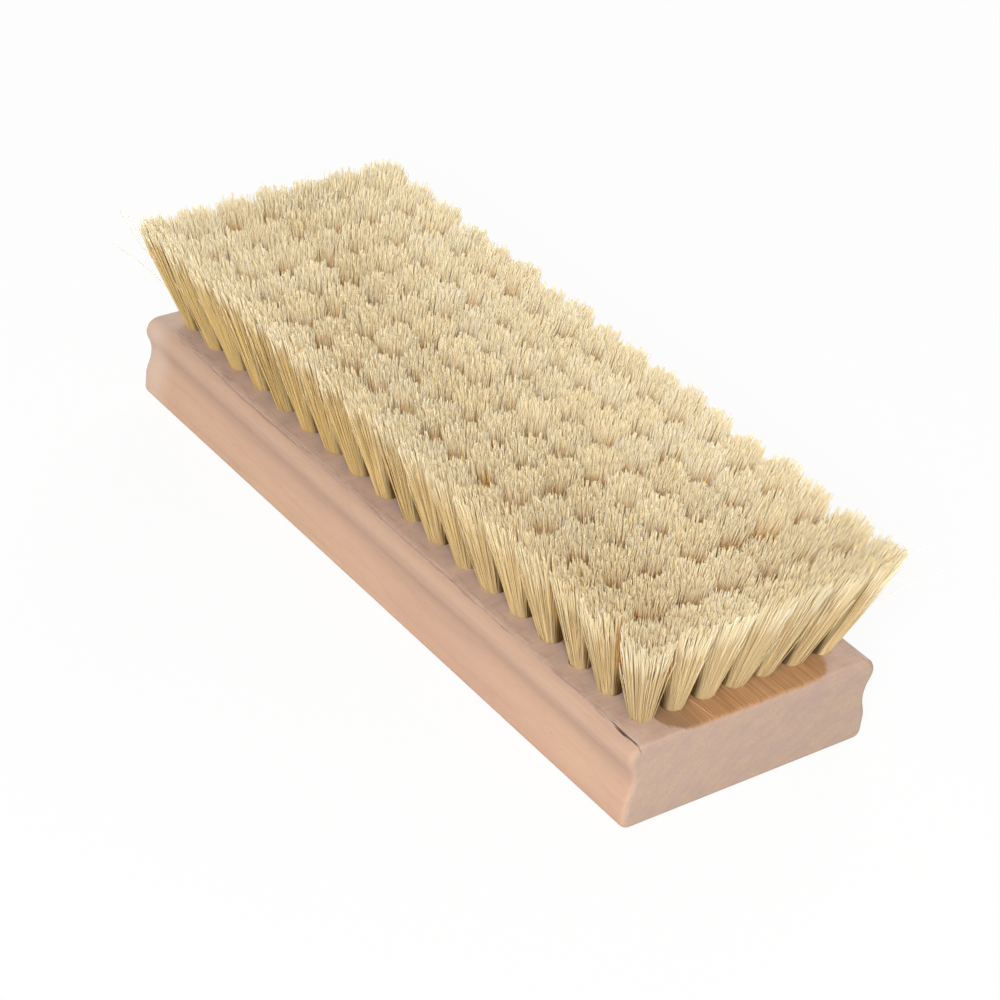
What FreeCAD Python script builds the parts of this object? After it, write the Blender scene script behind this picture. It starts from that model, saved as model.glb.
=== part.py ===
import FreeCAD, Part
import math
import os

# Scrub brush lying on its back, bristles up. X runs along the block, Y across it and Z up.
# The origin is the centre of the flat back. Lengths are in millimetres, angles in radians.

# Wooden block
block_length = 203.0
block_thickness = 22.4
nose_width = 70.8        # widest place, just under the bristle face
nose_radius = 3.6        # rounding from the bristle face into the finger cove
cove_radius = 9.0        # hollow for the fingertips along each long side
cove_depth = 1.7         # how far the cove lies inside the nose
base_inset = 0.4         # how far the straight lower side lies inside the nose
shoulder_radius = 9.0    # rounding from the cove into the lower side
base_edge_radius = 2.4   # rounding from the lower side into the back
end_chamfer = 1.1        # eased edges of both end faces

# Holes for the tufts
columns = 18             # cross rows, counted along the block
rows = 7                 # tufts in each cross row
end_margin = 9.45        # block end to the first hole's centre
side_margin = 9.7        # nose to the outer hole's centre
hole_width = 5.4
hole_depth = 13.0
flats = 8                # flats round each hole and tuft

# Fibre tufts
tuft_clearance = 0.1     # between a tuft's root and its hole
trim_height = 29.2       # bristle face to the trimmed tips
tip_gap = 0.45           # least gap between neighbouring tips
end_splay = 6.3          # how far the tips lean out at the block's ends
side_splay = 7.8         # how far the tips lean out at the long sides

# Flat wire anchors, each driven over the fold of its tuft
anchor_thickness = 0.45
anchor_height = 2.2
anchor_bite = 0.1        # how far each end bites past the hole's flats
anchor_clearance = 0.03  # between an anchor and its tuft

column_pitch = (block_length - 2 * end_margin) / (columns - 1)
row_pitch = (nose_width - 2 * side_margin) / (rows - 1)
tip_row_pitch = row_pitch + 2 * side_splay / (rows - 1)
tip_width = min(column_pitch, tip_row_pitch) - tip_gap
root_width = hole_width - 2 * tuft_clearance
hole_floor = block_thickness - hole_depth
tip_height = block_thickness + trim_height
anchor_width = hole_width + 2 * anchor_bite
anchor_turn = math.pi / flats    # towards a corner of the hole, slanting across the grain

vector = FreeCAD.Vector


def arc(centre_y, centre_z, radius, start, end):
    """Arc in the YZ plane between two angles measured from +Y."""
    angles = (start, (start + end) / 2, end)
    points = [vector(0, centre_y + radius * math.cos(a), centre_z + radius * math.sin(a)) for a in angles]
    return Part.Arc(*points).toShape()


def side_profile():
    """Edges of one long side, from the back up round the shoulder, cove and nose."""
    nose_y = nose_width / 2 - nose_radius
    nose_z = block_thickness - nose_radius
    nose_span = cove_radius + nose_radius - cove_depth
    nose_rise = math.sqrt((cove_radius + nose_radius) ** 2 - nose_span ** 2)
    cove_y = nose_y + nose_span
    cove_z = nose_z - nose_rise
    base_y = nose_width / 2 - base_inset
    shoulder_y = base_y - shoulder_radius
    shoulder_span = cove_y - shoulder_y
    shoulder_drop = math.sqrt((cove_radius + shoulder_radius) ** 2 - shoulder_span ** 2)
    shoulder_z = cove_z - shoulder_drop
    nose_angle = math.atan2(nose_rise, nose_span)
    shoulder_angle = math.atan2(shoulder_drop, shoulder_span)
    lower_side = Part.makeLine(vector(0, base_y, base_edge_radius), vector(0, base_y, shoulder_z))
    return [
        arc(base_y - base_edge_radius, base_edge_radius, base_edge_radius, -math.pi / 2, 0),
        lower_side,
        arc(shoulder_y, shoulder_z, shoulder_radius, 0, shoulder_angle),
        arc(cove_y, cove_z, cove_radius, math.pi + shoulder_angle, math.pi - nose_angle),
        arc(nose_y, nose_z, nose_radius, -nose_angle, math.pi / 2),
    ]


def blank_block():
    """The moulded block before drilling: one profile along its length, with eased ends."""
    right = side_profile()
    left = [edge.mirror(vector(0, 0, 0), vector(0, 1, 0)) for edge in right]
    back_y = nose_width / 2 - base_inset - base_edge_radius
    face_y = nose_width / 2 - nose_radius
    back = Part.makeLine(vector(0, -back_y, 0), vector(0, back_y, 0))
    face = Part.makeLine(vector(0, -face_y, block_thickness), vector(0, face_y, block_thickness))
    outline = Part.Wire(Part.__sortEdges__(right + left + [back, face]))
    outline.translate(vector(-block_length / 2, 0, 0))
    block = Part.Face(outline).extrude(vector(block_length, 0, 0))
    end_edges = [edge for edge in block.Edges if edge.BoundBox.XLength < end_chamfer]
    return block.makeChamfer(end_chamfer, end_edges)


def lean(column, row):
    """Sideways travel of a tuft's axis for each millimetre of height."""
    along = 2 * column / (columns - 1) - 1
    across = 2 * row / (rows - 1) - 1
    return vector(end_splay * along ** 3, side_splay * across, 0) / trim_height


def axis_point(column, row, height):
    """Point on a tuft's axis at a height above the back."""
    x = (column - (columns - 1) / 2) * column_pitch
    y = (row - (rows - 1) / 2) * row_pitch
    return vector(x, y, height) + lean(column, row) * (height - block_thickness)


def flat_ring(centre, width):
    """Corners of a regular level polygon, with flats facing its neighbours."""
    corner_radius = width / 2 / math.cos(math.pi / flats)
    angles = [(2 * k + 1) * math.pi / flats for k in range(flats)]
    return [centre + vector(math.cos(a), math.sin(a), 0) * corner_radius for a in angles]


def strip_ring(centre, length, thickness):
    """Corners of a level strip that slants towards a corner of the hole."""
    along = vector(math.cos(anchor_turn), math.sin(anchor_turn), 0) * (length / 2)
    aside = vector(-math.sin(anchor_turn), math.cos(anchor_turn), 0) * (thickness / 2)
    return [centre + along + aside, centre - along + aside, centre - along - aside, centre + along - aside]


def plane_face(corners):
    return Part.Face(Part.makePolygon(corners + corners[:1]))


def stacked(rings):
    """Solid through level rings of the same shape, each joined to the next by flat sides."""
    faces = [plane_face(rings[0]), plane_face(rings[-1])]
    for lower, upper in zip(rings, rings[1:]):
        for k in range(len(lower)):
            faces.append(plane_face([lower[k - 1], lower[k], upper[k], upper[k - 1]]))
    solid = Part.Solid(Part.Shell(faces))
    solid.fix(1e-6, 1e-6, 1e-6)
    return solid


def hole(column, row):
    mouth = axis_point(column, row, block_thickness)
    floor = axis_point(column, row, hole_floor)
    return stacked([flat_ring(floor, hole_width), flat_ring(mouth, hole_width)])


def anchor(column, row):
    """Flat wire strip at the hole's floor, leaning with its tuft."""
    low = axis_point(column, row, hole_floor + tuft_clearance)
    high = axis_point(column, row, hole_floor + tuft_clearance + anchor_height)
    return stacked([strip_ring(point, anchor_width, anchor_thickness) for point in (low, high)])


def tuft(column, row):
    """Folded bundle: straight in its hole, flaring to the trimmed tips, split by its anchor."""
    root = axis_point(column, row, hole_floor + tuft_clearance)
    mouth = axis_point(column, row, block_thickness)
    tip = axis_point(column, row, tip_height)
    bundle = stacked([flat_ring(root, root_width), flat_ring(mouth, root_width), flat_ring(tip, tip_width)])
    split_top = hole_floor + tuft_clearance + anchor_height + anchor_clearance
    split_ends = [axis_point(column, row, height) for height in (hole_floor, split_top)]
    split_thickness = anchor_thickness + 2 * anchor_clearance
    split = stacked([strip_ring(point, 2 * hole_width, split_thickness) for point in split_ends])
    return bundle.cut(split)


def drilled_block():
    holes = [hole(column, row) for column in range(columns) for row in range(rows)]
    return blank_block().cut(holes)


def save(name, solids):
    shape = solids[0] if len(solids) == 1 else Part.makeCompound(solids)
    shape.exportStep(os.path.join("parts", name + ".step"))
    print(name, len(shape.Solids), "solids", round(shape.Volume, 2), "mm3", "valid" if shape.isValid() else "INVALID")


os.makedirs("parts", exist_ok=True)
save("block", drilled_block().Solids)
for column in range(columns):
    save(f"tuft_row_{column + 1:02d}", [tuft(column, row) for row in range(rows)])
    save(f"anchor_row_{column + 1:02d}", [anchor(column, row) for row in range(rows)])
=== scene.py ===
# %% [markdown]
# # A wooden scrub brush
# The brush is a hardwood block with a finger cove along each side, drilled with rows of blind holes.
# Each hole holds a tuft of plant fibre, folded over a flat wire anchor. This lesson dresses its
# measured CAD model: the model comes in first and stays fixed, and every piece that is made here takes
# its place from it.

# %% Load the measured model
import math

import bmesh
import bpy
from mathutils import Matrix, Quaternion, Vector


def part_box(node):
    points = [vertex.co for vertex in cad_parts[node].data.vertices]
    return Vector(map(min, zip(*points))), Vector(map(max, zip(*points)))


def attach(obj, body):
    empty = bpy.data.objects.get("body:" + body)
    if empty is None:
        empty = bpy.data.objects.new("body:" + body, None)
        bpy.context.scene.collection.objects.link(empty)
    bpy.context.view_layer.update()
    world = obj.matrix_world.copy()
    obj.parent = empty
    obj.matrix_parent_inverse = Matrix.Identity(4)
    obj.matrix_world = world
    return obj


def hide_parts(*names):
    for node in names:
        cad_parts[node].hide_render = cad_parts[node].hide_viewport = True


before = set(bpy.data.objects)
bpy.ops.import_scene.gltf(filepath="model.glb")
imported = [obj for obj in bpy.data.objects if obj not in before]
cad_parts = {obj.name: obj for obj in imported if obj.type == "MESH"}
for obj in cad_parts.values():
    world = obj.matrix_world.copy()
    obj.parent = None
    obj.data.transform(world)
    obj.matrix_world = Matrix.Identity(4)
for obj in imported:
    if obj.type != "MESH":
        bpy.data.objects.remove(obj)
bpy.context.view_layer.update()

MM = 0.001
block_low, block_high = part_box("block")
tip_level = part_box("tuft_row_01")[1].z
anchor_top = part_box("anchor_row_01")[1].z
tuft_nodes = sorted(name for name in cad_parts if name.startswith("tuft_row"))
anchor_nodes = sorted(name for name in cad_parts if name.startswith("anchor_row"))
block_size = [round(v / MM, 1) for v in block_high - block_low]
print("block", block_size, "mm, tips at", round(tip_level / MM, 1), "mm")

# %% [markdown]
# ## Small helpers
# Colours are written as the sRGB hex values that a colour picker shows, and Blender's shaders work in
# linear light, so one function turns them. Shaders and Geometry Nodes are both trees of nodes, so one
# function adds a node to either: it sets the node's options, fills its inputs in the order that the
# node shows them, and hands back one output. The names in capitals are only short for the kinds of node
# that come up most.

# %% Colour and node helpers
MATHS = "ShaderNodeMath"
VECTOR = "ShaderNodeVectorMath"
RAMP = "ShaderNodeMapRange"
MIX = "ShaderNodeMix"
NOISE = "ShaderNodeTexNoise"


def linear(hex_colour):
    """Linear RGBA of an sRGB hex colour."""
    parts = [int(hex_colour[k:k + 2], 16) / 255 for k in (1, 3, 5)]
    return tuple(p / 12.92 if p <= 0.04045 else ((p + 0.055) / 1.055) ** 2.4 for p in parts) + (1.0,)


def add_node(tree, kind, *inputs, out=None, **settings):
    """Adds a node. An input that is a socket gets linked, None is passed over, any other value is set."""
    node = tree.nodes.new(kind)
    for name, value in settings.items():
        setattr(node, name, value)
    shown = [socket for socket in node.inputs if socket.enabled]
    for socket, value in zip(shown, inputs):
        if isinstance(value, bpy.types.NodeSocket):
            tree.links.new(value, socket)
        elif value is not None:
            socket.default_value = value
    if out:
        return node.outputs[out]
    return next((socket for socket in node.outputs if socket.enabled), None)


def new_material(name):
    """A material with one Principled shader, its tree, and the object's own coordinates in millimetres."""
    material = bpy.data.materials.new(name)
    material.use_nodes = True
    tree = material.node_tree
    place = add_node(tree, "ShaderNodeTexCoord", out="Object")
    in_mm = add_node(tree, VECTOR, place, 1 / MM, operation="SCALE")
    return material, tree, tree.nodes["Principled BSDF"], in_mm


print("helpers ready; mid grey #808080 is", round(linear("#808080")[0], 3), "in linear light")

# %% [markdown]
# ## Camera
# The photograph was taken with a long lens, from the front right corner and above, held a few degrees
# off level. The eye's place, the point that it looks at and the roll are real sizes, so the brush keeps
# its true proportions from every other side as well.

# %% Place the camera
eye = Vector((474.9, -391.5, 417.9)) * MM
looks_at = Vector((12.5, -6.0, 25.0)) * MM
roll = math.radians(6.9)
focal_length = 109.7    # millimetres, on a sensor 36 mm wide

lens = bpy.data.cameras.new("camera")
lens.lens = focal_length
lens.sensor_width = 36.0
camera = bpy.data.objects.new("camera", lens)
camera.location = eye
camera.rotation_euler = ((looks_at - eye).to_track_quat("-Z", "Y") @ Quaternion((0, 0, 1), roll)).to_euler()
bpy.context.scene.collection.objects.link(camera)
bpy.context.scene.camera = camera
print("camera", round((looks_at - eye).length, 3), "m from the brush")

# %% [markdown]
# ## Reading the tufts' axes
# Every tuft leans along its own line. The CAD solids already hold those lines: each has a ring of
# corners where it leaves the block and another at its trimmed tips. The middle of the two rings gives
# the foot and the tip, so the holes and the fibres made below follow the model without a second set of
# numbers.

# %% Find the feet and the tips
def ring_centres(node, level, tufts=7):
    """Middles of a cross row's tufts at one height, from the near side to the far side."""
    corners = {tuple(round(c, 6) for c in v.co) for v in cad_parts[node].data.vertices
               if abs(v.co.z - level) < 0.02 * MM}
    ordered = sorted(corners, key=lambda corner: corner[1])
    count = len(ordered) // tufts
    groups = [ordered[k * count:(k + 1) * count] for k in range(tufts)]
    return [sum((Vector(corner) for corner in group), Vector()) / count for group in groups]


face_level = block_high.z
axes = {node: list(zip(ring_centres(node, face_level), ring_centres(node, tip_level))) for node in tuft_nodes}
all_axes = [axis for node in tuft_nodes for axis in axes[node]]
print(len(all_axes), "tufts, the first foot at", [round(c / MM, 2) for c in all_axes[0][0]], "mm")

# %% [markdown]
# ## Wood of the block
# The block is beech, moulded, then sanded on a belt and left bare. Wood is a solid, not a skin, so its
# pattern is worked out in space: growth rings circle a pith line outside the block, and fine fibres run
# along it. The same rings then show as long streaks on the sides and as arcs on the ends, as they do on
# a real block.

# %% Beech: patterns
beech, tree, shader, in_mm = new_material("sanded_beech")
pattern_sizes = {
    "grain": (26.0, 0.45, 0.45),     # fine grain, drawn coarser than real fibre so that it shows
    "blotch": (46.0, 13.0, 13.0),    # slow change of colour along the board
    "fleck": (2.2, 0.4, 0.4),        # the short brown dashes that beech is known by
    "torn": (5.0, 0.5, 0.5),         # fibres that the belt lifted along the rim
    "mottle": (5.0, 5.0, 3.2),       # clouds on the sanded end grain
    "dust": (0.9, 0.6, 0.6),         # nap that the grit leaves
    "scratch": (0.4, 5.0, 5.0),      # lines of the belt, drawn coarser than the grit so that they show
}
pattern = {}
for name, size in pattern_sizes.items():
    spot = add_node(tree, VECTOR, in_mm, tuple(1 / length for length in size), operation="MULTIPLY")
    pattern[name] = add_node(tree, NOISE, spot, 1.0, 3.0)
print("beech patterns:", ", ".join(pattern))

# %% Beech: growth rings
ring_width = 2.7
ring_wander = 3.2
pith = (0.0, 46.0, -58.0)
from_pith = add_node(tree, VECTOR, in_mm, pith, operation="SUBTRACT")
flat = add_node(tree, VECTOR, from_pith, (0, 1, 1), operation="MULTIPLY")
distance = add_node(tree, VECTOR, flat, operation="LENGTH")
rings = add_node(tree, MATHS, distance, ring_width, operation="DIVIDE")
wander = add_node(tree, MATHS, pattern["blotch"], ring_wander, rings, operation="MULTIPLY_ADD")
angle = add_node(tree, MATHS, wander, 2 * math.pi, operation="MULTIPLY")
wave = add_node(tree, MATHS, angle, operation="SINE")
late_wood = add_node(tree, RAMP, wave, 0.55, 1.0, interpolation_type="SMOOTHSTEP")
print("rings", ring_width, "mm apart round a pith at", pith)

# %% [markdown]
# ### Where the belt sanded
# Masks tell the shader where it is on the block. The belt only reached the rim of the bristle face, so
# the wood between the tufts keeps its browner planed colour: a rounded rectangle with an uneven edge
# bounds it. The direction that a surface faces tells end grain, which is paler, greyer and fuzzier,
# from the long sides.

# %% Beech: planed patch and end grain
planed_half = (101.6, 24.5)
planed_corner = 9.0
ragged_edge = 3.0
along, across, height = add_node(tree, "ShaderNodeSeparateXYZ", in_mm).node.outputs
beyond = []
for value, half in zip((along, across), planed_half):
    size = add_node(tree, MATHS, value, operation="ABSOLUTE")
    past = add_node(tree, MATHS, size, half - planed_corner, operation="SUBTRACT")
    beyond.append(add_node(tree, MATHS, past, 0.0, operation="MAXIMUM"))
corner_run = add_node(tree, "ShaderNodeCombineXYZ", *beyond)
corner_run = add_node(tree, VECTOR, corner_run, operation="LENGTH")
ragged = add_node(tree, MATHS, pattern["grain"], ragged_edge, -ragged_edge / 2, operation="MULTIPLY_ADD")
rim = add_node(tree, MATHS, corner_run, ragged, operation="ADD")
inside = add_node(tree, RAMP, rim, planed_corner + 0.5, planed_corner - 0.5, interpolation_type="SMOOTHSTEP")
top = face_level / MM
on_face = add_node(tree, RAMP, height, top - 0.7, top - 0.1, interpolation_type="SMOOTHSTEP")
planed = add_node(tree, MATHS, inside, on_face, operation="MULTIPLY")

facing = add_node(tree, "ShaderNodeTexCoord", out="Normal")
facing_x = add_node(tree, "ShaderNodeSeparateXYZ", facing)
facing_x = add_node(tree, MATHS, facing_x, operation="ABSOLUTE")
end_grain = add_node(tree, RAMP, facing_x, 0.55, 0.9, interpolation_type="SMOOTHSTEP")
print("planed patch", [2 * half for half in planed_half], "mm, sanded rim and end grain masked")

# %% [markdown]
# ### Marks in the grain
# Dark lines run along the near edge of the bristle face: two long thin streaks in the grain, and a
# short split close to the corner. Each is a band round a line in space, narrowed to a point at both
# ends and shaken by noise.

# %% Beech: streaks and split
marks = {
    "streak": {"start": -88.0, "end": -12.0, "beside": -33.3, "width": 0.28},
    "faint streak": {"start": -60.0, "end": 92.0, "beside": -32.6, "width": 0.2},
    "split": {"start": 88.0, "end": 103.0, "beside": -33.0, "width": 0.36},
}
mark_shake = 3.0
shake = add_node(tree, MATHS, pattern["blotch"], mark_shake, -mark_shake / 2, operation="MULTIPLY_ADD")
fine_shake = add_node(tree, MATHS, pattern["torn"], 0.9, -0.45, operation="MULTIPLY_ADD")
shake = add_node(tree, MATHS, shake, fine_shake, operation="ADD")
high_up = add_node(tree, RAMP, height, 20.0, 21.5, interpolation_type="SMOOTHSTEP")
line = {}
for name, mark in marks.items():
    middle, half = (mark["start"] + mark["end"]) / 2, (mark["end"] - mark["start"]) / 2
    off = add_node(tree, MATHS, across, mark["beside"], operation="SUBTRACT")
    off = add_node(tree, MATHS, off, shake, operation="ADD")
    off = add_node(tree, MATHS, off, operation="ABSOLUTE")
    run = add_node(tree, MATHS, along, middle, operation="SUBTRACT")
    run = add_node(tree, MATHS, run, operation="ABSOLUTE")
    room = add_node(tree, MATHS, run, -mark["width"] / half, mark["width"], operation="MULTIPLY_ADD")
    spare = add_node(tree, MATHS, room, off, operation="SUBTRACT")
    band = add_node(tree, RAMP, spare, -0.12, 0.2, interpolation_type="SMOOTHSTEP")
    line[name] = add_node(tree, MATHS, band, high_up, operation="MULTIPLY")
print("marks:", ", ".join(line))

# %% [markdown]
# ### Colour and relief
# Colours go on in layers, as a painter would lay them: a mask, how strongly it shows, and the colour
# under it. First the sanded sides, then the ends, then the planed patch, then the marks. The same
# patterns, much weaker, give the relief and the roughness: sanded beech is dry and dull. The far end is
# a little paler, as the photograph shows it.

# %% Beech: colour layers
outer = add_node(tree, MATHS, across, operation="ABSOLUTE")
outer = add_node(tree, RAMP, outer, 28.5, 33.0, interpolation_type="SMOOTHSTEP")
torn_rim = add_node(tree, MATHS, outer, on_face, operation="MULTIPLY")
torn = add_node(tree, RAMP, pattern["torn"], 0.54, 0.64, interpolation_type="SMOOTHSTEP")
torn_rim = add_node(tree, MATHS, torn_rim, torn, operation="MULTIPLY")
contrasts = {"blotch": (0.3, 0.75), "grain": (0.45, 0.75), "fleck": (0.64, 0.74),
             "dust": (0.3, 0.75), "mottle": (0.35, 0.7), "scratch": (0.5, 0.7)}
soft = {}
for name, (low, high) in contrasts.items():
    soft[name] = add_node(tree, RAMP, pattern[name], low, high, interpolation_type="SMOOTHSTEP")
rim_mottle = add_node(tree, MATHS, soft["mottle"], on_face, operation="MULTIPLY")
belt_lines = add_node(tree, MATHS, soft["scratch"], on_face, operation="MULTIPLY")
far_end = add_node(tree, RAMP, along, -88.0, -97.0, interpolation_type="SMOOTHSTEP")
planed_lines = add_node(tree, RAMP, pattern["grain"], 0.3, 0.7, interpolation_type="SMOOTHSTEP")


def painted(tree, base, layers):
    """Colour socket of a base colour under layers of mask, strength and colour."""
    for mask, strength, over in layers:
        share = add_node(tree, MATHS, mask, strength, operation="MULTIPLY")
        base, over = (linear(c) if isinstance(c, str) else c for c in (base, over))
        base = add_node(tree, MIX, share, base, over, data_type="RGBA")
    return base


# Painted shade: the sides darken towards the top, under the nose and the overhanging tufts;
# the nose layer then takes part of that painted shade off the nose again.
upper_shade = add_node(tree, RAMP, height, 5.0, 19.0, interpolation_type="SMOOTHSTEP")
nose = add_node(tree, RAMP, height, 17.0, 20.5, interpolation_type="SMOOTHSTEP")
# Painted shadow: the near side of the planed patch is darker, where the near row of tufts shades it.
painted_tuft_shadow = add_node(tree, RAMP, across, -12.0, -20.0, interpolation_type="SMOOTHSTEP")
sides = painted(tree, "#C6A388", [
    (soft["blotch"], 1.0, "#BE9A84"), (upper_shade, 0.7, "#AC8E7C"), (nose, 0.5, "#C4A48C"),
    (soft["grain"], 0.2, "#AA866E"), (late_wood, 0.1, "#A47F68"), (soft["fleck"], 0.35, "#9A7762"),
    (on_face, 0.8, "#C3A99A"), (rim_mottle, 0.5, "#B09488"), (belt_lines, 0.25, "#9A7E74"),
    (torn_rim, 0.45, "#8C6C60"), (far_end, 0.5, "#D2BCAC")])
ends = painted(tree, "#B19784", [
    (soft["dust"], 0.55, "#BFA793"), (soft["mottle"], 0.5, "#AA9189"),
    (late_wood, 0.12, "#9C8170"), (soft["fleck"], 0.35, "#D0BAA8")])
brown = painted(tree, "#BD9166", [
    (soft["mottle"], 0.5, "#C79E78"), (planed_lines, 0.8, "#A0744E"),
    (late_wood, 0.3, "#956A45"), (painted_tuft_shadow, 0.7, "#8C7055")])
wood = painted(tree, sides, [
    (end_grain, 1.0, ends), (planed, 1.0, brown), (line["streak"], 0.4, "#86624C"),
    (line["faint streak"], 0.25, "#8A6650"), (line["split"], 0.9, "#3A2A20")])
tree.links.new(wood, shader.inputs["Base Color"])
print("beech colours laid:", len(tree.nodes), "nodes")

# %% Beech: roughness and relief
relief_height = 0.12 * MM
mark_depth = 1.5    # times that height
dull = add_node(tree, RAMP, pattern["dust"], 0.2, 0.8, 0.62, 0.82)
tree.links.new(dull, shader.inputs["Roughness"])
shader.inputs["Specular IOR Level"].default_value = 0.3

nap = add_node(tree, RAMP, end_grain, 0.0, 1.0, 0.25, 0.6)
nap = add_node(tree, MATHS, pattern["dust"], nap, operation="MULTIPLY")
relief = add_node(tree, MATHS, pattern["grain"], 0.5, nap, operation="MULTIPLY_ADD")
for name in line:
    relief = add_node(tree, MATHS, line[name], -mark_depth, relief, operation="MULTIPLY_ADD")
bump = add_node(tree, "ShaderNodeBump", 0.5, relief_height, None, relief)
tree.links.new(bump, shader.inputs["Normal"])
print("beech finished:", len(tree.nodes), "nodes")

# %% [markdown]
# ## The block
# The moulder cut one profile along the whole length: flat back, straight lower side, shoulder, finger
# cove, nose and flat bristle face. The ends were eased by sanding. A loft of rings follows that: every
# ring is the profile shrunk by a little more as it nears the end, so the edge rolls over evenly. As the
# profile is a chain of tangent arcs, shrinking it only changes their radii.

# %% Profile of the block
nose_radius = 3.6
cove_radius = 9.0
cove_depth = 1.7
base_inset = 0.4
shoulder_radius = 9.0
base_edge_radius = 2.4
half_length, half_width, thickness = (v / MM for v in block_high)


def arc(centre, radius, start, end, steps=7):
    turns = [start + (end - start) * k / steps for k in range(steps + 1)]
    return [(centre[0] + radius * math.cos(t), centre[1] + radius * math.sin(t)) for t in turns]


def profile(inset):
    """Closed profile in Y and Z, shrunk by inset, going round from the back of one side."""
    nose = Vector((half_width - nose_radius, thickness - nose_radius))
    span = cove_radius + nose_radius - cove_depth
    rise = math.sqrt((cove_radius + nose_radius) ** 2 - span ** 2)
    cove = nose + Vector((span, -rise))
    base_side = half_width - base_inset
    shoulder_span = cove.x - (base_side - shoulder_radius)
    drop = math.sqrt((cove_radius + shoulder_radius) ** 2 - shoulder_span ** 2)
    shoulder = Vector((base_side - shoulder_radius, cove.y - drop))
    edge = Vector((base_side - base_edge_radius, base_edge_radius))
    nose_turn = math.atan2(rise, span)
    shoulder_turn = math.atan2(drop, shoulder_span)
    side = arc(edge, base_edge_radius - inset, -math.pi / 2, 0)
    side += arc(shoulder, shoulder_radius - inset, 0, shoulder_turn)
    side += arc(cove, cove_radius + inset, math.pi + shoulder_turn, math.pi - nose_turn)
    side += arc(nose, nose_radius - inset, -nose_turn, math.pi / 2)
    flat_strip = 0.5
    side.append((side[-1][0] - flat_strip, side[-1][1]))
    return side + [(-y, z) for y, z in reversed(side)]


print("profile:", len(profile(0.0)), "points")

# %% Loft the block
end_rounding = 1.5


def block_rings(half_steps=20, roll_steps=6):
    """Stations along the block, each with its shrink: an even run, then the roll over each end."""
    run = half_length - end_rounding
    middle = [(run * (k / half_steps - 1), 0.0) for k in range(2 * half_steps + 1)]
    turns = [math.pi / 2 * k / roll_steps for k in range(1, roll_steps + 1)]
    roll_over = [(run + end_rounding * math.sin(t), end_rounding * (1 - math.cos(t))) for t in turns]
    return [(-x, inset) for x, inset in reversed(roll_over)] + middle + roll_over


def loft(name, sections):
    """Closed mesh through sections with the same number of points, in millimetres."""
    form = bmesh.new()
    rings = [[form.verts.new(Vector(p) * MM) for p in section] for section in sections]
    for ring, following in zip(rings, rings[1:]):
        for k in range(len(ring)):
            form.faces.new((ring[k - 1], ring[k], following[k], following[k - 1]))
    form.faces.new(rings[0])
    form.faces.new(rings[-1])
    bmesh.ops.recalc_face_normals(form, faces=form.faces)
    mesh = bpy.data.meshes.new(name)
    form.to_mesh(mesh)
    form.free()
    return mesh


blank = loft("block_blank", [[(x, y, z) for y, z in profile(inset)] for x, inset in block_rings()])
print("block blank:", len(blank.polygons), "faces")

# %% [markdown]
# ## Drilling
# A drill on a tilting head makes one hole for each tuft, along the tuft's own lean. The holes repeat,
# so they are Geometry Nodes: a drill bit is set on every foot, turned to the lean, and taken away from
# the block. The tree runs once, and its result is kept as a plain mesh.

# %% Node tree helpers
STORE = "GeometryNodeStoreNamedAttribute"
RECALL = "GeometryNodeInputNamedAttribute"
REALIZE = "GeometryNodeRealizeInstances"


def new_tree(name, sizes):
    """A Geometry Nodes tree with a mesh going in and one named input for each size."""
    tree = bpy.data.node_groups.new(name, "GeometryNodeTree")
    tree.interface.new_socket("Mesh", in_out="OUTPUT", socket_type="NodeSocketGeometry")
    tree.interface.new_socket("Mesh", in_out="INPUT", socket_type="NodeSocketGeometry")
    for size, value in sizes.items():
        kind = "NodeSocketInt" if isinstance(value, int) else "NodeSocketFloat"
        tree.interface.new_socket(size, in_out="INPUT", socket_type=kind)
    given = tree.nodes.new("NodeGroupInput")
    return tree, {socket.name: socket for socket in given.outputs if socket.name}


def run_tree(name, mesh, tree, sizes):
    """Runs a tree on a mesh with these sizes, and returns a new object with the plain result."""
    piece = bpy.data.objects.new(name, mesh)
    bpy.context.scene.collection.objects.link(piece)
    modifier = piece.modifiers.new(name, "NODES")
    modifier.node_group = tree
    for item in tree.interface.items_tree:
        if item.in_out == "INPUT" and item.name in sizes:
            modifier[item.identifier] = sizes[item.name]
    bpy.context.view_layer.update()
    result = bpy.data.meshes.new_from_object(piece.evaluated_get(bpy.context.evaluated_depsgraph_get()))
    piece.modifiers.remove(modifier)
    piece.data = result
    return piece


def marked_points(name, points, attribute, values):
    """A mesh of loose points that carries one vector for each of them."""
    mesh = bpy.data.meshes.new(name)
    mesh.from_pydata(points, [], [])
    layer = mesh.attributes.new(attribute, "FLOAT_VECTOR", "POINT")
    layer.data.foreach_set("vector", [c for value in values for c in value])
    return mesh


print("node tree helpers ready")

# %% Drill the holes
hole_sizes = {"Hole Radius": 2.7 * MM, "Hole Depth": 13.0 * MM, "Hole Sides": 20}
mouths = [foot for foot, tip in all_axes]
leans = [tip - foot for foot, tip in all_axes]
feet = marked_points("tuft_feet", mouths, "lean", leans)
feet_object = bpy.data.objects.new("tuft_feet", feet)
bpy.context.scene.collection.objects.link(feet_object)

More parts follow.
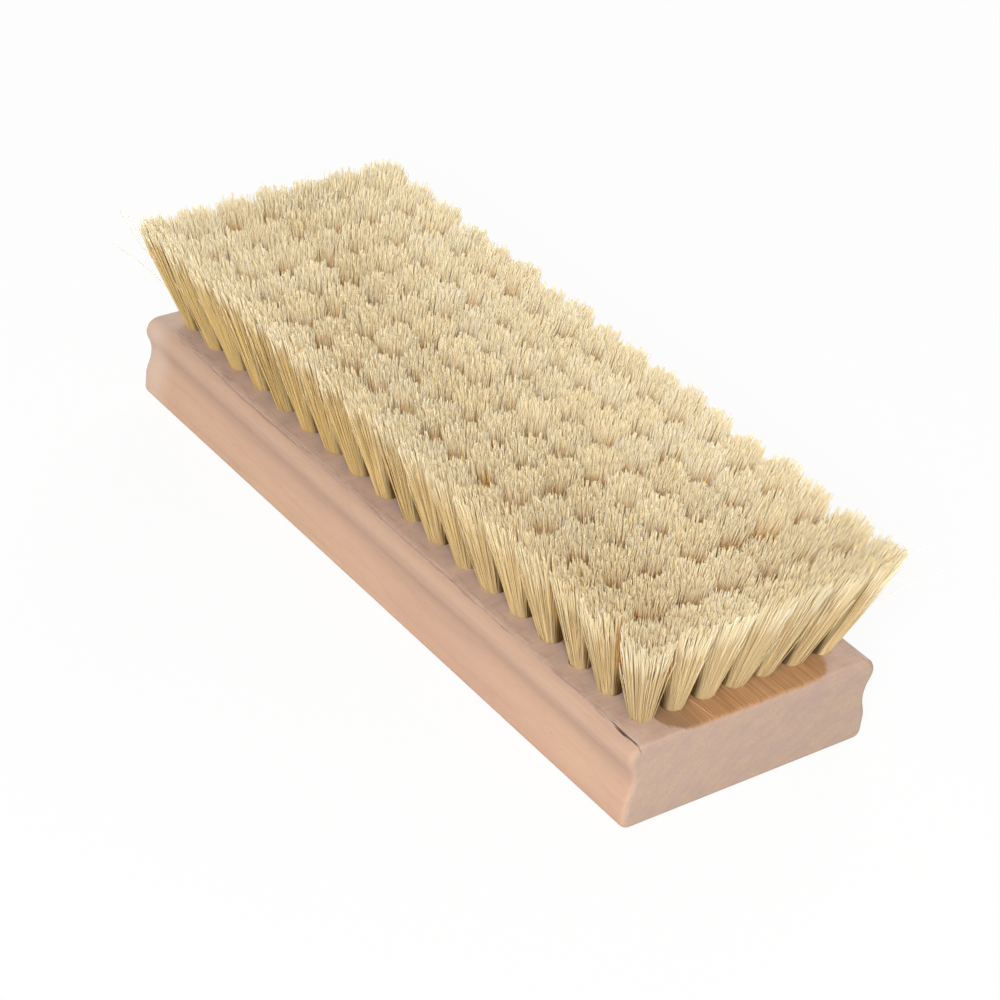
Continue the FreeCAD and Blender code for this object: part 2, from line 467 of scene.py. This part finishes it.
drilling, given = new_tree("drilling", hole_sizes)
spots = add_node(drilling, "GeometryNodeObjectInfo", feet_object, out="Geometry")
lean = add_node(drilling, RECALL, "lean", data_type="FLOAT_VECTOR")
turned = add_node(drilling, "FunctionNodeAlignRotationToVector", None, None, lean, axis="Z")
both_ways = add_node(drilling, MATHS, given["Hole Depth"], 2.0, operation="MULTIPLY")
hole_sides, hole_radius = given["Hole Sides"], given["Hole Radius"]
bit = add_node(drilling, "GeometryNodeMeshCylinder", hole_sides, None, None, hole_radius, both_ways)
bits = add_node(drilling, "GeometryNodeInstanceOnPoints", spots, None, bit, None, None, turned)
bits = add_node(drilling, REALIZE, bits)
drilled = add_node(drilling, "GeometryNodeMeshBoolean", given["Mesh"], bits,
                   operation="DIFFERENCE", solver="MANIFOLD")
drilled = add_node(drilling, "GeometryNodeSetMaterial", drilled, None, beech)
add_node(drilling, "NodeGroupOutput", drilled)

block = run_tree("beech_block", blank, drilling, hole_sizes)
bpy.data.objects.remove(feet_object)
block.data.shade_smooth()
block.data.set_sharp_from_angle(angle=math.radians(35))
print("drilled block:", len(block.data.polygons), "faces")

# %% Seat the block
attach(block, "root")
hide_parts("block")
print("block seated on the root body")

# %% [markdown]
# ## Fibre
# The bristles are leaf fibre of an agave, bleached and combed: stiff, straw-coloured hairs, about a
# fifth of a millimetre thick, no two of quite the same colour. Light goes some way into such fibre and
# comes out warmer, so its colours are written bright, with little blue: the light that bounces between
# fibres then turns ochre by itself. Each fibre carries its own tone and knows how far along itself a
# point is, so the shader can make some paler, some ochre, and all of them a little darker towards the
# foot.

# %% Agave fibre: its own colours
fibre, tree, shader, in_mm = new_material("combed_agave_fibre")
tone = add_node(tree, "ShaderNodeAttribute", attribute_name="tone", out="Fac")
run = add_node(tree, "ShaderNodeAttribute", attribute_name="along", out="Fac")
neighbour_shade = add_node(tree, "ShaderNodeAttribute", attribute_name="neighbour_shade", out="Fac")
cloud_size = (2.4, 2.4, 5.0)    # patches of paler and browner fibre
rib_size = (0.12, 0.12, 2.0)    # ribs along each fibre
spot = add_node(tree, VECTOR, in_mm, tuple(1 / length for length in cloud_size), operation="MULTIPLY")
cloud = add_node(tree, NOISE, spot, 1.0, 2.0)
shift = add_node(tree, MATHS, cloud, 0.35, -0.175, operation="MULTIPLY_ADD")
tint = add_node(tree, MATHS, tone, shift, operation="ADD")
dark_ones = add_node(tree, RAMP, tint, 0.12, 0.0, interpolation_type="SMOOTHSTEP")
pale_ones = add_node(tree, RAMP, tint, 0.45, 1.0, interpolation_type="SMOOTHSTEP")
towards_foot = add_node(tree, RAMP, run, 1.0, 0.8, interpolation_type="SMOOTHSTEP")
worn_ones = add_node(tree, RAMP, tone, -0.5, -0.9)
straw = painted(tree, "#FDEFC8", [
    (pale_ones, 1.0, "#FFF8E4"), (towards_foot, 0.9, "#E0C794"),
    (dark_ones, 0.75, "#DDB468"), (worn_ones, 1.0, "#D3A888")])
print("straw colours laid:", len(tree.nodes), "nodes")

# %% [markdown]
# ### Light between the fibres
# Real fibre lets light through, and it comes out warmer each time, so the gaps between the tufts glow
# ochre and only turn brown near the wood. The modelled fibres are opaque, so painted light and shade
# stand in for that: the shader works out how far inside the outline of the brush it is, and how far
# below the tips. Fibres that face a neighbouring tuft turn brown at the foot as well, a painted shadow
# of that tuft. A last mask darkens the outer fibres on the far half of the long sides, a painted shade:
# the lamps are stronger there than in the photograph, and the fibre itself is no darker.

# %% Agave fibre: ochre depths
root_radius = 2.45 * MM
tip_radius = 5.55 * MM
places = add_node(tree, "ShaderNodeSeparateXYZ", in_mm).node.outputs
risen = add_node(tree, RAMP, places["Z"], face_level / MM, tip_level / MM)
inward = []
for k, name in enumerate("XY"):
    foot_edge = (max(abs(foot[k]) for foot, tip in all_axes) + root_radius) / MM
    tip_edge = (max(abs(tip[k]) for foot, tip in all_axes) + tip_radius) / MM
    edge = add_node(tree, RAMP, risen, 0.0, 1.0, foot_edge, tip_edge)
    size = add_node(tree, MATHS, places[name], operation="ABSOLUTE")
    inward.append(add_node(tree, MATHS, edge, size, operation="SUBTRACT"))
on_long_side = add_node(tree, RAMP, inward[1], 2.5, 0.5, interpolation_type="SMOOTHSTEP")
below_tip = add_node(tree, RAMP, run, 1.0, 0.95)
toned_down = add_node(tree, MATHS, on_long_side, below_tip, operation="MULTIPLY")
far_half = add_node(tree, RAMP, places["X"], 90.0, -40.0, interpolation_type="SMOOTHSTEP")
toned_down = add_node(tree, MATHS, toned_down, far_half, operation="MULTIPLY")
inward = add_node(tree, MATHS, *inward, operation="MINIMUM")
# Painted shade in three layers; the last also paints, at the foot, the shadow that a neighbouring tuft casts
# on the fibres facing it.
# Just below the tips, half way down, and at the wood.
depths = [
    {"run": (0.99, 0.9), "inward": (1.5, 4.5), "beside": 0.0, "strength": 0.8, "colour": "#F4C264"},
    {"run": (0.8, 0.55), "inward": (1.5, 4.0), "beside": 0.0, "strength": 0.8, "colour": "#E2AC52"},
    {"run": (0.62, 0.32), "inward": (0.9, 2.8), "beside": 1.0, "strength": 0.9, "colour": "#5E3E22"},
]
layers = [(toned_down, 0.8, "#D0B070")]
for depth in depths:
    enclosed = add_node(tree, RAMP, inward, *depth["inward"], interpolation_type="SMOOTHSTEP")
    beside = add_node(tree, MATHS, neighbour_shade, depth["beside"], operation="MULTIPLY")
    enclosed = add_node(tree, MATHS, enclosed, beside, operation="MAXIMUM")
    deep = add_node(tree, RAMP, run, *depth["run"], interpolation_type="SMOOTHSTEP")
    mask = add_node(tree, MATHS, deep, enclosed, operation="MULTIPLY")
    layers.append((mask, depth["strength"], depth["colour"]))
tree.links.new(painted(tree, straw, layers), shader.inputs["Base Color"])
print("outline of the tips", round(tip_edge, 1), "mm from the middle across")

# %% Agave fibre: surface
rib_height = 0.05 * MM
dry = add_node(tree, RAMP, cloud, 0.3, 0.7, 0.45, 0.62)
tree.links.new(dry, shader.inputs["Roughness"])
shader.inputs["Specular IOR Level"].default_value = 0.15
spot = add_node(tree, VECTOR, in_mm, tuple(1 / length for length in rib_size), operation="MULTIPLY")
ribs = add_node(tree, NOISE, spot, 1.0, 2.0)
bump = add_node(tree, "ShaderNodeBump", 0.4, rib_height, None, ribs)
tree.links.new(bump, shader.inputs["Normal"])
print("agave fibre:", len(tree.nodes), "nodes")

# %% [markdown]
# ## Tufts
# A tuft is a bundle of fibres that stands straight in its hole and flares out to the trimmed tips.
# Modelling one bundle and copying it would show as a pattern, so Geometry Nodes grow every fibre by
# itself. A point at the foot of each tuft is multiplied into fibres. They are set out like the seeds of
# a sunflower, which fills a round hole evenly, and each keeps the matching place at the tips. A cell
# pattern then draws neighbours together into small strands of slightly different height, as the
# trimming knife leaves them.

# %% Fibre sizes
fibre_sizes = {
    "Fibres": 780,
    "Seed": 1,
    "Root Radius": root_radius,
    "Tip Radius": tip_radius,
    "Fibre Width": 0.22 * MM,
    "Scatter": 0.3 * MM,
    "Strand Size": 0.95 * MM,
    "Bunching": 0.5,
    "Strand Step": 2.4 * MM,
    "Bend": 0.4 * MM,
    "Uneven": 1.0 * MM,
    "Crown Drop": 0.5 * MM,
    "Tuft Stray": 0.7 * MM,
    "Hidden Share": 0.26,
}
tufting, given = new_tree("tufting", fibre_sizes)
print("tufting takes", ", ".join(fibre_sizes))

# %% Multiply each foot into fibres
number = add_node(tufting, "GeometryNodeInputIndex")
points = add_node(tufting, "GeometryNodeMeshToPoints", given["Mesh"])
points = add_node(tufting, STORE, points, None, "tuft", number, data_type="INT", domain="POINT")
points = add_node(tufting, "GeometryNodeDuplicateElements", points, None, given["Fibres"], domain="POINT")
seed_number = points.node.outputs["Duplicate Index"]
tuft = add_node(tufting, RECALL, "tuft", data_type="INT")

draws = {
    "aside x": (-1.0, 1.0, None),
    "aside y": (-1.0, 1.0, None),
    "pull": (0.3, 1.0, None),
    "cut": (0.0, 1.0, None),
    "broken": (0.0, 1.0, None),
    "bend x": (-1.0, 1.0, None),
    "bend y": (-1.0, 1.0, None),
    "wild": (0.0, 1.0, None),
    "tone": (0.15, 0.8, None),
    "tuft tone": (0.0, 0.2, tuft),
    "tuft turn": (0.0, 2 * math.pi, tuft),
    "tuft x": (-1.0, 1.0, tuft),
    "tuft y": (-1.0, 1.0, tuft),
    "tuft z": (-0.8, 0.5, tuft),
}
drawn = {}
for salt, (name, (low, high, owner)) in enumerate(draws.items()):
    seed = add_node(tufting, MATHS, given["Seed"], salt, operation="ADD")
    drawn[name] = add_node(tufting, "FunctionNodeRandomValue", low, high, owner, seed, data_type="FLOAT")
print("feet multiplied;", len(drawn), "random draws for each fibre or tuft")

# %% Set the fibres out like sunflower seeds
golden_angle = math.pi * (3 - math.sqrt(5))
seeds_in = add_node(tufting, MATHS, seed_number, 0.5, operation="ADD")
filled = add_node(tufting, MATHS, seeds_in, given["Fibres"], operation="DIVIDE")
outward = add_node(tufting, MATHS, filled, operation="SQRT")
turn = add_node(tufting, MATHS, seed_number, golden_angle, drawn["tuft turn"], operation="MULTIPLY_ADD")
cosine = add_node(tufting, MATHS, turn, operation="COSINE")
sine = add_node(tufting, MATHS, turn, operation="SINE")
around = add_node(tufting, "ShaderNodeCombineXYZ", cosine, sine)
disc = add_node(tufting, VECTOR, around, outward, operation="SCALE")
root_offset = add_node(tufting, VECTOR, disc, given["Root Radius"], operation="SCALE")
tip_offset = add_node(tufting, VECTOR, disc, given["Tip Radius"], operation="SCALE")
aside = add_node(tufting, "ShaderNodeCombineXYZ", drawn["aside x"], drawn["aside y"])
aside = add_node(tufting, VECTOR, aside, given["Scatter"], operation="SCALE")
tip_offset = add_node(tufting, VECTOR, tip_offset, aside, operation="ADD")
print("places set out, each turned", round(math.degrees(golden_angle), 1), "degrees from the last")

# %% Draw the tips into strands
tufts_apart = (5.3, 9.1, 0.0)    # moves the cell pattern on from tuft to tuft
rows_apart = (3.7, 1.9, 0.0)     # and from row to row
step_below = 0.7                 # share of a strand step that lies below the trim
per_strand = add_node(tufting, MATHS, 1.0, given["Strand Size"], operation="DIVIDE")
cell_spot = add_node(tufting, VECTOR, tip_offset, per_strand, operation="SCALE")
for steps, count in ((tufts_apart, tuft), (rows_apart, given["Seed"])):
    moved = add_node(tufting, VECTOR, steps, count, operation="SCALE")
    cell_spot = add_node(tufting, VECTOR, cell_spot, moved, operation="ADD")
cells = add_node(tufting, "ShaderNodeTexVoronoi", cell_spot, 1.0, voronoi_dimensions="2D").node.outputs
to_middle = add_node(tufting, VECTOR, cells["Position"], cell_spot, operation="SUBTRACT")
to_middle = add_node(tufting, VECTOR, to_middle, (1.0, 1.0, 0.0), operation="MULTIPLY")
pull = add_node(tufting, MATHS, given["Bunching"], given["Strand Size"], operation="MULTIPLY")
pull = add_node(tufting, MATHS, pull, drawn["pull"], operation="MULTIPLY")
bunch = add_node(tufting, VECTOR, to_middle, pull, operation="SCALE")
strand_level = add_node(tufting, "ShaderNodeSeparateXYZ", cells["Color"])
strand_level = add_node(tufting, MATHS, strand_level, step_below, operation="SUBTRACT")
strand_level = add_node(tufting, MATHS, strand_level, given["Strand Step"], operation="MULTIPLY")
print("tips drawn into strands", round(fibre_sizes["Strand Size"] / MM, 2), "mm wide")

# %% Trim the fibres and bend them
crown_power = 3.0       # the higher, the nearer to its edge a crown starts to fall
uneven_rarity = 3.0     # the higher, the fewer fibres are cut short
broken_rarity = 14.0    # the higher, the fewer fibres are broken off
broken_loss = 0.3       # share of its length that a broken one loses
wild_rarity = 40.0      # the higher, the fewer fibres bend wildly
wild_extra = 4.0        # times the common bend
tuft_stray = add_node(tufting, "ShaderNodeCombineXYZ", drawn["tuft x"], drawn["tuft y"], drawn["tuft z"])
tuft_stray = add_node(tufting, VECTOR, tuft_stray, given["Tuft Stray"], operation="SCALE")
crown = add_node(tufting, MATHS, outward, crown_power, operation="POWER")
crown = add_node(tufting, MATHS, crown, given["Crown Drop"], operation="MULTIPLY")
cut = add_node(tufting, MATHS, drawn["cut"], uneven_rarity, operation="POWER")
cut = add_node(tufting, MATHS, cut, given["Uneven"], crown, operation="MULTIPLY_ADD")
trim = add_node(tufting, MATHS, strand_level, cut, operation="SUBTRACT")
trim = add_node(tufting, "ShaderNodeCombineXYZ", 0.0, 0.0, trim)
rise = add_node(tufting, RECALL, "rise", data_type="FLOAT_VECTOR")
lean = add_node(tufting, VECTOR, rise, (1.0, 1.0, 0.0), operation="MULTIPLY")
lean = add_node(tufting, VECTOR, lean, operation="NORMALIZE")
leans_out = add_node(tufting, VECTOR, disc, lean, operation="DOT_PRODUCT")
# Marks the fibres on the side of each tuft turned away from its lean, towards its neighbours, for a painted
# shadow at their feet.
neighbour_shade = add_node(tufting, RAMP, leans_out, 0.15, -0.4, interpolation_type="SMOOTHSTEP")
for change in (tuft_stray, trim):
    rise = add_node(tufting, VECTOR, rise, change, operation="ADD")
broken = add_node(tufting, MATHS, drawn["broken"], broken_rarity, operation="POWER")
kept = add_node(tufting, MATHS, broken, -broken_loss, 1.0, operation="MULTIPLY_ADD")
rise = add_node(tufting, VECTOR, rise, kept, operation="SCALE")
spread = add_node(tufting, VECTOR, tip_offset, root_offset, operation="SUBTRACT")
spread = add_node(tufting, VECTOR, spread, bunch, operation="ADD")
wild = add_node(tufting, MATHS, drawn["wild"], wild_rarity, operation="POWER")
wild = add_node(tufting, MATHS, wild, wild_extra, 1.0, operation="MULTIPLY_ADD")
wild = add_node(tufting, MATHS, wild, given["Bend"], operation="MULTIPLY")
bend = add_node(tufting, "ShaderNodeCombineXYZ", drawn["bend x"], drawn["bend y"])
bend = add_node(tufting, VECTOR, bend, wild, operation="SCALE")
place = add_node(tufting, "GeometryNodeInputPosition")
root = add_node(tufting, VECTOR, place, root_offset, operation="ADD")
fibre_tone = add_node(tufting, MATHS, drawn["tone"], drawn["tuft tone"], operation="ADD")
carried = {"root": root, "rise": rise, "spread": spread, "bend": bend}
for name, value in carried.items():
    points = add_node(tufting, STORE, points, None, name, value, data_type="FLOAT_VECTOR", domain="POINT")
points = add_node(tufting, STORE, points, None, "tone", fibre_tone, data_type="FLOAT", domain="POINT")
points = add_node(tufting, STORE, points, None, "neighbour_shade", neighbour_shade, data_type="FLOAT", domain="POINT")
print("each fibre carries", ", ".join(carried), "and tone")

# %% [markdown]
# ### From points to hairs
# A short straight line is set on every point. Its own parameter says how far along the fibre each of
# its points is, and the vectors that the fibre carries turn that into the path: up with the tuft, out
# with the flare, and aside with the bend. A three-sided section is enough, because a fibre is about as
# wide as one pixel.

# %% Bend a line into each fibre
stations = (0.0, 0.27, 0.82, 1.0)    # shares of the length: root, mouth of the hole, start of the taper, tip
widths = (0.8, 0.9, 1.4, 0.75)       # times the fibre width
flare_power = 1.15                   # the fibres spread a little faster towards the tips
straight = add_node(tufting, "GeometryNodeCurvePrimitiveLine")
straight = add_node(tufting, "GeometryNodeResampleCurve", straight, None, len(stations))
hairs = add_node(tufting, "GeometryNodeInstanceOnPoints", points, None, straight)
hairs = add_node(tufting, REALIZE, hairs)
step = add_node(tufting, "GeometryNodeSplineParameter")
run, girth = stations[0], widths[0]
parts = len(stations) - 1
for k in range(parts):
    part = add_node(tufting, RAMP, step, k / parts, (k + 1) / parts)
    run = add_node(tufting, MATHS, part, stations[k + 1] - stations[k], run, operation="MULTIPLY_ADD")
    girth = add_node(tufting, MATHS, part, widths[k + 1] - widths[k], girth, operation="MULTIPLY_ADD")
shown = add_node(tufting, RAMP, run, given["Hidden Share"], 1.0)
flare = add_node(tufting, MATHS, shown, flare_power, operation="POWER")
bow = add_node(tufting, MATHS, shown, math.pi, operation="MULTIPLY")
bow = add_node(tufting, MATHS, bow, operation="SINE")
path = add_node(tufting, RECALL, "root", data_type="FLOAT_VECTOR")
for name, amount in (("rise", run), ("spread", flare), ("bend", bow)):
    vector = add_node(tufting, RECALL, name, data_type="FLOAT_VECTOR")
    vector = add_node(tufting, VECTOR, vector, amount, operation="SCALE")
    path = add_node(tufting, VECTOR, path, vector, operation="ADD")
hairs = add_node(tufting, "GeometryNodeSetPosition", hairs, None, path)
hairs = add_node(tufting, STORE, hairs, None, "along", run, data_type="FLOAT", domain="POINT")

section = add_node(tufting, "GeometryNodeCurvePrimitiveCircle", 3, 0.5)
girth = add_node(tufting, MATHS, girth, given["Fibre Width"], operation="MULTIPLY")
bodies = add_node(tufting, "GeometryNodeCurveToMesh", hairs, section, girth, True)
bodies = add_node(tufting, "GeometryNodeSetShadeSmooth", bodies)
bodies = add_node(tufting, REALIZE, bodies)
bodies = add_node(tufting, "GeometryNodeSetMaterial", bodies, None, fibre)
add_node(tufting, "NodeGroupOutput", bodies)
print("tufting tree:", len(tufting.nodes), "nodes")

# %% [markdown]
# ### One piece for each cross row
# The CAD model holds one node for each cross row of tufts, so the fibres are grown row by row and each
# row stands for its node. The fibres start just above the wire anchor that holds them.

# %% Grow the rows
root_level = anchor_top + 0.2 * MM
fan_share = 0.48    # of the way to the next row's tips, which lie further apart towards the ends
middle_tuft = 3
tip_rows = [axes[node][middle_tuft][1].x for node in tuft_nodes]
triangles = 0
for row, node in enumerate(tuft_nodes):
    roots = [foot + (tip - foot) * ((root_level - foot.z) / (tip.z - foot.z)) for foot, tip in axes[node]]
    rises = [tip - start for start, (foot, tip) in zip(roots, axes[node])]
    base = marked_points(node + "_roots", roots, "rise", rises)
    gaps = [abs(tip_rows[k + 1] - tip_rows[k]) for k in (row - 1, row) if 0 <= k < len(tip_rows) - 1]
    sizes = {**fibre_sizes, "Seed": 100 * (row + 1), "Tip Radius": max(tip_radius, fan_share * max(gaps))}
    piece = run_tree(node.replace("tuft_row", "fibres"), base, tufting, sizes)
    for used in ("tuft", *carried):
        piece.data.attributes.remove(piece.data.attributes[used])
    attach(piece, "root")
    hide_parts(node)
    triangles += sum(len(face.vertices) - 2 for face in piece.data.polygons)
print(len(tuft_nodes), "rows of fibres,", triangles, "triangles")

# %% [markdown]
# ## Stray fibres
# A few fibres always work loose: some stand out at the corners, and one broken piece lies on the wood
# at the near end. Each is a short smooth curve with a round body, and a tone of its own.

# %% Draw the strays
stray_paths = [
    [(-96.5, -29.5, 29.0), (-98.5, -34.0, 35.5), (-100.5, -40.0, 41.5), (-101.5, -46.0, 46.5)],
    [(-97.0, -30.5, 33.0), (-100.0, -35.0, 41.0), (-103.0, -38.5, 48.0), (-105.0, -40.5, 53.0)],
    [(-98.0, -32.0, 36.0), (-100.0, -37.5, 43.5), (-101.5, -41.5, 50.0), (-102.5, -43.5, 55.0)],
    [(99.5, 33.0, 40.0), (103.0, 36.0, 46.5), (107.0, 38.0, 49.5), (111.5, 39.0, 50.5)],
    [(100.0, 31.5, 37.0), (103.5, 34.0, 42.5), (106.0, 36.5, 45.5), (108.5, 39.5, 47.0)],
    [(99.0, 35.0, 44.0), (101.5, 39.0, 50.0), (104.0, 42.5, 53.0), (106.0, 44.5, 54.0)],
    [(91.0, -13.6, 22.8), (94.0, -13.1, 22.9), (97.0, -12.6, 22.8), (100.4, -12.2, 22.6)],
]
stray_width = 0.22 * MM
line_set = bpy.data.curves.new("stray_fibres", "CURVE")
line_set.dimensions = "3D"
line_set.bevel_depth = stray_width / 2
line_set.bevel_resolution = 0
line_set.use_fill_caps = True
line_set.resolution_u = 5
for stray_path in stray_paths:
    spline = line_set.splines.new("NURBS")
    spline.points.add(len(stray_path) - 1)
    for point, spot in zip(spline.points, stray_path):
        point.co = (*(Vector(spot) * MM), 1.0)
    spline.order_u = 3
    spline.use_endpoint_u = True
drawn_lines = bpy.data.objects.new("stray_fibres_line", line_set)
bpy.context.scene.collection.objects.link(drawn_lines)
bpy.context.view_layer.update()
strays = bpy.data.objects.new("stray_fibres", bpy.data.meshes.new_from_object(drawn_lines))
bpy.context.scene.collection.objects.link(strays)
bpy.data.objects.remove(drawn_lines)
print(len(stray_paths), "strays,", len(strays.data.polygons), "faces")

# %% Colour the strays
on_wood = face_level + 2.0 * MM
for name, standing, lying in (("tone", 0.9, -1.0), ("along", 1.0, 0.35)):
    layer = strays.data.attributes.new(name, "FLOAT", "POINT")
    layer.data.foreach_set("value", [lying if v.co.z < on_wood else standing for v in strays.data.vertices])
strays.data.materials.clear()
strays.data.materials.append(fibre)
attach(strays, "root")
print("strays coloured")

# %% [markdown]
# ## Wire anchors
# The anchors are flat steel wire, driven across the foot of each tuft. They are hidden in the finished
# brush, but the model keeps them, with the fine drawing lines that wire has along its length.

# %% Drawn steel
steel, tree, shader, in_mm = new_material("drawn_steel")
drawing_lines = (3.0, 3.0, 0.15)
spot = add_node(tree, VECTOR, in_mm, tuple(1 / length for length in drawing_lines), operation="MULTIPLY")
scratches = add_node(tree, NOISE, spot, 1.0, 2.0)
greys = painted(tree, "#8E8D88", [(scratches, 1.0, "#B4B3AD")])
tree.links.new(greys, shader.inputs["Base Color"])
sheen = add_node(tree, RAMP, scratches, 0.3, 0.7, 0.28, 0.42)
tree.links.new(sheen, shader.inputs["Roughness"])
shader.inputs["Metallic"].default_value = 1.0
for node in anchor_nodes:
    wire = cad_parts[node]
    wire.data.materials.clear()
    wire.data.materials.append(steel)
print(len(anchor_nodes), "rows of anchors")

# %% [markdown]
# ## Floor, light and background
# The brush lies on a white sweep. For the camera, the floor is mostly plain white, so that it meets the
# white background with no line, and it keeps a soft share of the brush's shadow. The light is what a
# light tent gives: an even glow from everywhere, a broad lamp in front, and two weaker ones at the near
# side and behind.

# %% White floor
def seen_directly(tree):
    """1 where the camera, a reflection or a clear surface looks at it, 0 where it only lights the scene."""
    rays = add_node(tree, "ShaderNodeLightPath").node.outputs
    seen = rays["Is Camera Ray"]
    for kind in ("Is Glossy Ray", "Is Transmission Ray"):
        seen = add_node(tree, MATHS, seen, rays[kind], operation="MAXIMUM")
    return seen


white_share = 0.9
sweep_half = 3000
sweep_outline = [(-sweep_half, 0), (sweep_half, 0), (sweep_half, -1), (-sweep_half, -1)]
floor_mesh = loft("floor", [[(x, y, z) for y, z in sweep_outline] for x in (-sweep_half, sweep_half)])
floor = bpy.data.objects.new("floor", floor_mesh)
bpy.context.scene.collection.objects.link(floor)
sweep = bpy.data.materials.new("white_sweep")
sweep.use_nodes = True
tree = sweep.node_tree
tree.nodes.remove(tree.nodes["Principled BSDF"])
matt = add_node(tree, "ShaderNodeBsdfDiffuse", linear("#F4F4F4"))
plain = add_node(tree, "ShaderNodeEmission", (1, 1, 1, 1), 1.0)
share = add_node(tree, MATHS, seen_directly(tree), white_share, operation="MULTIPLY")
mixed = add_node(tree, "ShaderNodeMixShader", share, matt, plain)
tree.links.new(mixed, tree.nodes["Material Output"].inputs["Surface"])
floor_mesh.materials.append(sweep)
print("floor", 2 * sweep_half / 1000, "m wide")

# %% Glow of the tent
glow_at_floor = 0.6
glow_above = 0.4
world = bpy.data.worlds.new("light_tent")
bpy.context.scene.world = world
world.use_nodes = True
tree = world.node_tree
direction = add_node(tree, "ShaderNodeTexCoord", out="Generated")
skyward = add_node(tree, "ShaderNodeSeparateXYZ", direction, out="Z")
glow = add_node(tree, RAMP, skyward, 0.0, 0.9, glow_at_floor, glow_above, interpolation_type="SMOOTHSTEP")
strength = add_node(tree, RAMP, seen_directly(tree), 0.0, 1.0, glow, 1.0)
background = tree.nodes["Background"]
background.inputs["Color"].default_value = (1, 1, 1, 1)
tree.links.new(strength, background.inputs["Strength"])
print("tent glows", glow_at_floor, "at the floor and", glow_above, "overhead")

# %% Lamps
def soft_lamp(name, place, target, size, power):
    lamp = bpy.data.lights.new(name, "AREA")
    lamp.shape = "DISK"
    lamp.size = size
    lamp.energy = power
    holder = bpy.data.objects.new(name, lamp)
    holder.location = place
    holder.rotation_euler = (Vector(target) - Vector(place)).to_track_quat("-Z", "Y").to_euler()
    bpy.context.scene.collection.objects.link(holder)


soft_lamp("key", (0.85, -0.8, 0.78), (0, 0, 0.03), 0.5, 17.0)
soft_lamp("low_fill", (0.2, -1.3, 0.12), (0, 0, 0.02), 0.5, 1.0)
soft_lamp("back_fill", (-0.8, 1.0, 0.3), (0, 0, 0.02), 0.8, 8.0)
bpy.context.scene.view_settings.view_transform = "Standard"
# Pale fibre hands light on many times before it fades, so the light may bounce more often than by default.
bpy.context.scene.cycles.diffuse_bounces = 12
bpy.context.scene.cycles.max_bounces = 16
print("three lamps set")

# %% [markdown]
# ## Sizes
# The dressed brush has to stay the size of its model.

# %% Finish
print("finished")
